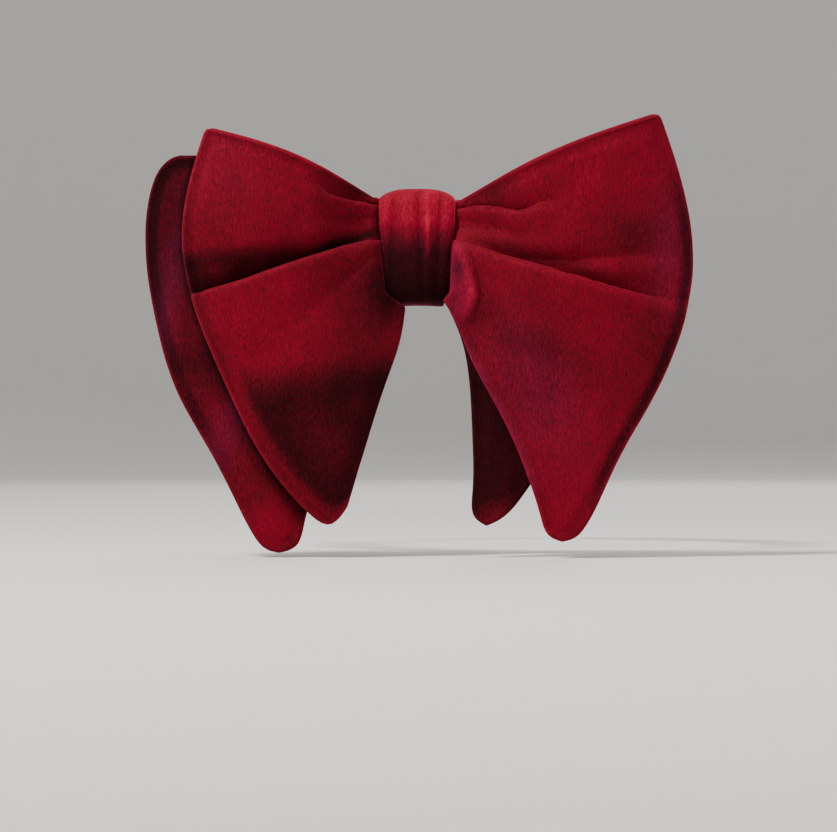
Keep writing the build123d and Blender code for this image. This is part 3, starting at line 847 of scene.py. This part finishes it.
# ---- knot
def knot():
    """The wrap: a creased strip of doubled velvet that goes once round the gathered bows."""
    n, across = 150, 46
    back_y, front_y = knot_box[1][1] / MM, knot_box[0][1] / MM
    turn = np.linspace(0, 2 * math.pi, n, endpoint=False)
    half = np.linspace(-1, 1, across)
    loop = np.concatenate([np.stack([half, np.ones(across)], 1), np.stack([half[::-1], -np.ones(across)], 1)])
    x_share, layer = loop[:, 0], loop[:, 1]
    t_grid, _ = np.meshgrid(turn, x_share, indexing="ij")
    xs = np.broadcast_to(x_share, t_grid.shape)
    side = np.broadcast_to(layer, t_grid.shape)
    power = 2 / 3.4
    c, s = np.cos(t_grid), np.sin(t_grid)
    y = (front_y + back_y) / 2 + (back_y - front_y) / 2 * np.sign(c) * np.abs(c) ** power
    top = 16.3 - 2.6 * np.abs(xs) ** 3
    low = 16.0 + 0.35 * xs**2
    z = np.where(s > 0, top, low) * np.sign(s) * np.abs(s) ** power
    half_width = np.interp(z, [-16, -14.6, -12.5, -4, 0, 6, 16], [7.7, 8.6, 9.1, 9.4, 9.9, 10.8, 11.1])
    x = xs * half_width
    front = smooth(-c, 0.1, 0.8)
    crease = (
        -0.8 * bump(x, -6.9 + 0.05 * z, 1.0) - 0.95 * bump(x, 1.2 - 0.04 * z, 1.1)
        - 0.75 * bump(x, 6.3 + 0.06 * z, 0.9) + 0.5 * bump(x, -9.2, 1.2) + 0.7 * bump(x, 3.2, 1.0)
        + 0.3 * bump(x, -3.0, 2.0) - 0.35 * bump(x, -4.2 - 0.08 * z, 0.7)
    ) * (0.3 + 0.4 * smooth(z, -18, 8))
    barrel = 1.5 * (1 - xs**2)
    rounding = np.sqrt(np.clip(1 - np.abs(xs) ** 14, 0, 1))
    half_strip = 0.62
    thick = half_strip * rounding * side
    push = thick + front * (crease * 0.9 + barrel * 0.7) - half_strip * smooth(c, 0.75, 0.98)
    push = push + 0.22 * smooth(c, 0.9, 0.99) * smooth(z, -0.3, 0.3) * (side > 0)
    base = np.stack([x, y, z], -1)
    around = np.gradient(base, axis=0)
    out = unit(np.stack([np.zeros_like(x), around[..., 2], -around[..., 1]], -1))
    middle = np.array([0, (front_y + back_y) / 2, 0])
    inward = ((base * [0, 1, 1] - middle) * out).sum(-1, keepdims=True) < 0
    points = base + np.where(inward, -out, out) * push[..., None]
    index = np.arange(n * 2 * across).reshape(n, 2 * across)
    piece = make("knot_wrap_velvet", points.reshape(-1, 3), wound(index, True), velvet, "velvet")
    # painted light on the wrap's front: lighter at the top, painted shade below the middle, darkest at the
    # bottom
    tone = 0.76 - 0.26 * (1 - smooth(z, 3, 8)) - 0.34 * (1 - smooth(z, -3, 4.5))
    tone -= 0.07 * (1 - smooth(z, -12, -4))
    # a painted highlight on the ridge right of the middle, and painted shade in the creases with painted
    # highlights on their ridges
    tone += 0.22 * bump(x, 3.0, 0.9) * smooth(z, -6, 0) * (1 - smooth(z, 6, 10)) + 0.1 * crease
    tone = np.where(c < 0, tone, 0.6)
    # painted sheen across the middle
    lay_nap_shade_and_sheen(piece, tone, 0.2 * bump(z, 2, 5))
    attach(piece, "bow")
    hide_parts("knot_wrap")


knot()
bow("front_bow", front_left, front_right, FRONT_PINCH_Y, 11)
bow("back_bow", back_left, back_right, BACK_PINCH_Y, 23)


# ---- ribbon and thread helpers
band_half = float(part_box("left_strap")[1][2]) / MM
ribbon_width = 2 * band_half - 0.3
ribbon_thickness = 1.3
fold_thickness = 0.85
wall = 0.34
tape_width = 14.0
tape_thickness = 0.4
tack_width = 13.6


def length_of(path):
    """The length of a path in millimetres, in metres."""
    return float(np.linalg.norm(np.diff(path, axis=0), axis=1).sum()) * MM


def arc(radius, start, end, count):
    """Plan points along part of the loop, from one plan angle in degrees to another."""
    angle = np.radians(np.linspace(start, end, count))
    return np.stack([radius * np.cos(angle), radius * np.sin(angle)], 1)


def round_bar(centre, radius, start, end):
    """Plan points round a bar, from one angle about its centre to another."""
    return np.array(centre) + arc(radius, start, end, 7)


def sweep(name, path, section, thickness, material, slot):
    """A closed piece: a section of (height, depth in half thicknesses) swept along a plan path."""
    path = np.asarray(path, float)
    heading = unit(np.gradient(path, axis=0))
    out = np.stack([heading[:, 1], -heading[:, 0]], 1)
    section = np.asarray(section, float)
    n, m = len(path), len(section)
    half = np.broadcast_to(thickness, n) / 2
    points = np.zeros((n, m, 3))
    for i in range(2):
        points[:, :, i] = path[:, None, i] + out[:, None, i] * section[None, :, 1] * half[:, None]
    points[:, :, 2] = section[None, :, 0]
    index = np.arange(n * m).reshape(n, m)
    faces = wound(index) + [index[0].tolist(), index[-1][::-1].tolist()]
    return make(name, points.reshape(-1, 3), faces, material, slot)


def tube_section(side):
    """A cloth tube pressed flat, whose two turned edges meet along one face, in the middle."""
    half = ribbon_width / 2
    share = wall / (ribbon_thickness / 2)
    slit = 0.04
    corner = [(half - 0.4 + 0.4 * math.cos(a), math.sin(a)) for a in np.linspace(-1.2, 1.2, 6)]
    seam_face = [(slit, -0.62), (slit + 0.25, -0.93), (slit + 1.0, -1.05), (half * 0.45, -0.98)]
    far_face = [(z, 1.0) for z in np.linspace(half - 1.2, -half + 1.2, 9)]
    outer = seam_face + corner + far_face + [(-z, d) for z, d in corner[::-1] + seam_face[::-1]]
    inner_right = [(slit, -1 + share), (half - 0.8, -1 + share), (half - 0.8, 1 - share)]
    inner = [(-z, d) for z, d in inner_right] + inner_right[::-1]
    return [(z, d * side) for z, d in outer + inner]


def flat_section(width):
    """A plain flat tape with rounded edges."""
    half = width / 2
    right = [(half - 0.2 + 0.2 * math.cos(a), math.sin(a)) for a in np.linspace(-1.3, 1.3, 5)]
    top = [(z, 1.0) for z in np.linspace(half - 1.0, -half + 1.0, 7)]
    left = [(-z, d) for z, d in right[::-1]]
    return right + top + left + [(z, -1.0) for z in np.linspace(-half + 1.0, half - 1.0, 7)]


def threads(name, runs, radius, closed=False):
    """Lengths of sewing thread, each through the given points, as one piece."""
    sides = 7
    turn = np.linspace(0, 2 * math.pi, sides, endpoint=False)
    points, faces = [], []
    for run in runs:
        run = np.asarray(run, float)
        heading = unit(np.roll(run, -1, 0) - np.roll(run, 1, 0) if closed else np.gradient(run, axis=0))
        guide = np.array([0.31, 0.52, 0.79])
        u = unit(np.cross(heading, guide))
        w = np.cross(heading, u)
        n = len(run)
        size = np.full(n, radius)
        if not closed:
            size[0] = size[-1] = radius * 0.45
        ring = run[:, None] + size[:, None, None] * (
            u[:, None] * np.cos(turn)[None, :, None] + w[:, None] * np.sin(turn)[None, :, None]
        )
        first = sum(len(p) for p in points)
        index = first + np.arange(n * sides).reshape(n, sides)
        points.append(ring.reshape(-1, 3))
        faces += [quad[::-1] for quad in wound(index, closed)]
        if not closed:
            faces += [index[0][::-1].tolist(), index[-1].tolist()]
    return make(name, np.concatenate(points), faces, thread, "thread")


def stitch(start, end, lift):
    """One stitch: it dips into the cloth at both ends and stands a little proud between them."""
    start, end, lift = (np.array(p, float) for p in (start, end, lift))
    t = np.linspace(0, 1, 7)[:, None]
    return start + (end - start) * t + lift * (np.sin(math.pi * t) * 1.25 - 0.25)


def on_loop(radius, angle, z):
    """A point at a plan angle in degrees and a radius about the loop's centre."""
    a = math.radians(angle)
    return np.array([radius * math.cos(a), radius * math.sin(a), z])


def bar_tack(name, radius, start, end, outward):
    """A close zigzag of thread across the band."""
    turns = 15
    runs = []
    for i, z in enumerate(np.linspace(-tack_width / 2, tack_width / 2, turns)):
        lean = 0.35 if i % 2 else -0.35
        a, b = on_loop(radius, start, z - lean), on_loop(radius, end, z + lean)
        runs.append(stitch(a, b, on_loop(0.16 * outward, (start + end) / 2, 0)))
    return threads(name, runs, 0.2)


def seam_stitches(name, path, side, last):
    """Slip stitches that close the ribbon's seam, from beside the knot on."""
    reach = distances(path)
    heading = unit(np.gradient(path, axis=0))
    runs = []
    first, pitch = 12.0, 3.4
    for s in np.arange(first, last, pitch):
        here, ahead = looked_up(s, reach, path), looked_up(s, reach, heading)
        out = np.array([ahead[1], -ahead[0]]) * side
        base = here + out * (ribbon_thickness / 2)
        a = np.array([*(base - ahead * 0.5), -0.75])
        b = np.array([*(base + ahead * 0.5), 0.75])
        runs.append(stitch(a, b, (*(out * 0.14), 0)))
    return threads(name, runs, 0.16)


# ---- neck band
joints = {joint["name"]: joint for joint in frame["joints"]}
eye_at = np.array(joints["eye_pivot"]["pos_m"][:2]) / MM
hook_at = np.array(joints["hook_pivot"]["pos_m"][:2]) / MM
eye_angle = math.degrees(math.atan2(eye_at[1], eye_at[0]))
hook_angle = math.degrees(math.atan2(hook_at[1], hook_at[0]))
centre_y = -64.175
centre_x = 8.0
inner_mid = 62.7
outer_mid = 65.3


def reach_of(path):
    """How far along a path each of its points is, in millimetres."""
    return np.linspace(0, 1, len(path)) * length_of(path) / MM


def strap_thickness(reach, thin):
    """A strap's thickness: less where it doubles back, and pressed a little beside the knot."""
    return ribbon_thickness - (ribbon_thickness - fold_thickness) * thin - 0.3 * (1 - smooth(reach, 1, 8))


def run_of(path):
    """A smooth path through plan points, with a point about every millimetre."""
    rough = np.asarray(path, float)
    total = np.linalg.norm(np.diff(rough, axis=0), axis=1).sum()
    return along(rough, np.linspace(0, 1, int(total / 0.8)))


def strap(side, path, thick, seam_side, seam_end):
    """One strap: its ribbon, the tape inside and the closed seam, all bending out of the knot."""
    tape_path = path[10:len(path) - 34]
    band = sweep(f"{side}_ribbon", path, tube_section(-seam_side), thick, ribbon, "band_ribbon")
    tape = sweep(f"{side}_tape", tape_path, flat_section(tape_width), tape_thickness, canvas, "interlining")
    seam = seam_stitches(f"{side}_seam_threads", path, seam_side, seam_end)
    for piece in (band, tape, seam):
        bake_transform(piece)
    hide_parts(f"{side}_strap")
    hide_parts(f"{side}_strap_interlining")


# Through the knot
centre_path = np.linspace((-centre_x, centre_y), (centre_x, centre_y), 24)
centre_band = sweep("centre_ribbon", centre_path, tube_section(1), 1.0, ribbon, "band_ribbon")
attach(centre_band, "bow")
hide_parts("band_centre")
tacks = threads(
    "tack_threads",
    [stitch((x - 1.2, centre_y - 0.62, z), (x + 1.2, centre_y - 0.62, z + 0.5), (0, -0.18, 0))
     for x in (-6.4, 6.4) for z in (-4.5, -1.5, 1.5, 4.5)],
    0.22,
)
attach(tacks, "bow")
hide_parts("band_tack_stitches")

# Left side: out of the knot, round the eye's bar, and back on itself outside
left_start = [(-centre_x, centre_y), (-10.5, centre_y + 0.02), (-13.0, -63.1), (-16.5, -60.9)]
left_path = run_of(np.concatenate([
    left_start,
    arc(inner_mid, 250.0, 108.0, 26),
    [on_loop(inner_mid - 0.08, 104.5, 0)[:2]],
    round_bar(eye_at, 1.27, eye_angle - 180, eye_angle),
    [on_loop(64.5, 105.0, 0)[:2], on_loop(64.38, 108.5, 0)[:2], on_loop(64.36, 112.0, 0)[:2]],
]))
reach = reach_of(left_path)
thick = strap_thickness(reach, smooth(reach, reach[-1] - 24, reach[-1] - 17))
strap("left", left_path, thick, 1, reach[-1] - 30)
left_tack = bar_tack("left_bar_tack", 64.36 + fold_thickness / 2, 108.6, 110.8, 1)
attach(left_tack, "left_strap")
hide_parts("left_bartack")

# Right side: out of the knot, over the slider's bars, and round the hook's bar
right_path = run_of(np.concatenate([
    [(centre_x, centre_y), (10.5, centre_y - 0.02), (13.5, -63.95)],
    arc(outer_mid, -74.5, 70.0, 26),
    [on_loop(outer_mid + 0.1, 75.0, 0)[:2]],
    round_bar(hook_at, 1.33, hook_angle, hook_angle + 180),
    [on_loop(inner_mid + 0.1, 76.0, 0)[:2], on_loop(inner_mid, 74.0, 0)[:2]],
]))
reach = reach_of(right_path)
thin = smooth(reach, reach[-1] - 18, reach[-1] - 11) * (1 - smooth(reach, reach[-1] - 5, reach[-1]))
strap("right", right_path, strap_thickness(reach, thin), -1, reach[-1] - 60)

# The right ribbon goes on inside itself to the slider's bar, round it, and ends in a bar tack
return_path = run_of(np.concatenate([
    arc(inner_mid, 74.0, 38.0, 9),
    arc(62.48, 33.0, 26.0, 4),
    [on_loop(62.62, 23.9, 0)[:2], on_loop(63.25, 23.1, 0)[:2], on_loop(63.88, 23.9, 0)[:2]],
    arc(64.05, 26.0, 34.0, 4),
]))
thick = ribbon_thickness - (ribbon_thickness - 0.5) * smooth(reach_of(return_path), 33, 42)
return_ribbon = sweep("return_ribbon", return_path, tube_section(1), thick, ribbon, "band_ribbon")
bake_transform(return_ribbon)
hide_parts("right_strap_return", "slider_fold")
slider_tack = bar_tack("slider_bar_tack", 62.48 - 0.25, 30.6, 32.8, -1)
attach(slider_tack, "slider")
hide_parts("slider_bartack")


# ---- inside and behind the knot
def gather(name, y):
    """Three turns of thread round the pinched middle of a bow."""
    half_depth = 1.15
    half_height = PINCH_HEIGHT / 2 + 0.45
    z = PINCH_TOP - PINCH_HEIGHT / 2
    runs = []
    turn = np.linspace(0, 2 * math.pi, 72, endpoint=False)
    for i, x in enumerate((-0.95, 0.0, 0.95)):
        c, s = np.cos(turn), np.sin(turn)
        ys = y + half_depth * np.sign(c) * np.abs(c) ** 0.45
        zs = z + half_height * np.sign(s) * np.abs(s) ** 0.45
        runs.append(np.stack([x + 0.3 * np.sin(turn + i), ys, zs], 1))
    piece = threads(name, runs, 0.24, closed=True)
    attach(piece, "bow")
    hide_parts(name.replace("_turns", ""))


gather("front_gather_thread_turns", FRONT_PINCH_Y)
gather("back_gather_thread_turns", BACK_PINCH_Y)


def cushion(name, node):
    """A soft pad that fills the node's box."""
    low, high = (np.array(corner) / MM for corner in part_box(node))
    centre, half = (low + high) / 2, (high - low) / 2
    u, v = np.meshgrid(np.linspace(0, 2 * math.pi, 56, endpoint=False), np.linspace(0.02, math.pi - 0.02, 36))

    def curved(value):
        return np.sign(value) * np.sqrt(np.abs(value))

    x = curved(np.sin(v)) * curved(np.cos(u))
    y = curved(np.sin(v)) * curved(np.sin(u))
    points = np.stack([x, y, curved(np.cos(v))], -1) * half + centre
    points += 0.12 * ripples(points, 5, 31)[..., None] * (points - centre) / half
    m, n = u.shape
    index = np.arange(m * n).reshape(m, n)
    faces = wound(index) + [index[0].tolist(), index[-1][::-1].tolist()]
    piece = make(name, points.reshape(-1, 3), faces, felt, "wadding")
    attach(piece, "bow")
    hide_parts(node)


cushion("knot_pad", "knot_padding")
wrap_back = float(knot_box[1][1]) / MM
closing = threads(
    "knot_closing_threads",
    [stitch((x, wrap_back + 0.12, -0.6), (x + 0.9, wrap_back + 0.12, 0.6), (0, 0.2, 0))
     for x in np.linspace(-7.4, 6.5, 8)],
    0.18,
)
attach(closing, "bow")
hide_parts("knot_closing_stitches")
for node_name in ("hook", "eye", "slider"):
    node = frame["nodes"][node_name]
    node.data.materials.clear()
    node.data.materials.append(nickel)
    bevel = node.modifiers.new("soft edges", "BEVEL")
    bevel.width = 0.00016
    bevel.segments = 2
    bevel.limit_method = "ANGLE"
    bevel.angle_limit = math.radians(40)


# ---- floor and light
paper, paper_tree, paper_shader, _ = nodes_of("paper")
feed_all(paper_tree, paper_shader, Base_Color=(0.8, 0.79, 0.77), Roughness=0.9)
floor_z = -0.0886
flat_radius, curve_radius, wall_top = 1.5, 0.7, 2.6
profile = [(0.5, floor_z)] + [
    (flat_radius + curve_radius * math.sin(a), floor_z + curve_radius * (1 - math.cos(a)))
    for a in np.linspace(0, math.pi / 2, 14)
] + [(flat_radius + curve_radius, wall_top)]
around = np.linspace(0, 2 * math.pi, 72, endpoint=False)
corners = [(r * math.cos(a), r * math.sin(a), z) for r, z in profile for a in around]
rings = np.arange(len(corners)).reshape(len(profile), len(around))
floor_mesh = bpy.data.meshes.new("floor")
floor_mesh.from_pydata(corners, [], wound(rings) + [rings[0].tolist()])
floor = added("floor", floor_mesh)
floor_mesh.materials.append(paper)
floor_mesh.polygons.foreach_set("use_smooth", [True] * len(floor_mesh.polygons))


def area_light(name, place, aim, size, power, colour):
    """A round soft light, turned to face a point."""
    data = bpy.data.lights.new(name, "AREA")
    data.shape = "DISK"
    data.size = size
    data.energy = power
    data.color = colour
    light = added(name, data)
    light.location = place
    light.rotation_euler = (Vector(aim) - Vector(place)).to_track_quat("-Z", "Y").to_euler()


centre = (0, -0.075, -0.02)
area_light("key", (-0.55, -0.62, 1.05), centre, 0.28, 24.5, (1.0, 0.97, 0.94))
area_light("top", (0.05, -0.15, 1.2), centre, 0.6, 5.4, (0.94, 0.96, 1.0))
area_light("fill", (0.9, -1.1, 0.25), centre, 1.0, 1.6, (0.95, 0.96, 1.0))
area_light("back", (0.3, 1.2, 0.7), (0, 0, 0), 1.0, 7, (1, 1, 1))
world = bpy.data.worlds.new("world")
bpy.context.scene.world = world
world.use_nodes = True
feed_all(world.node_tree, world.node_tree.nodes["Background"], Color=(0.93, 0.95, 1.0), Strength=0.06)
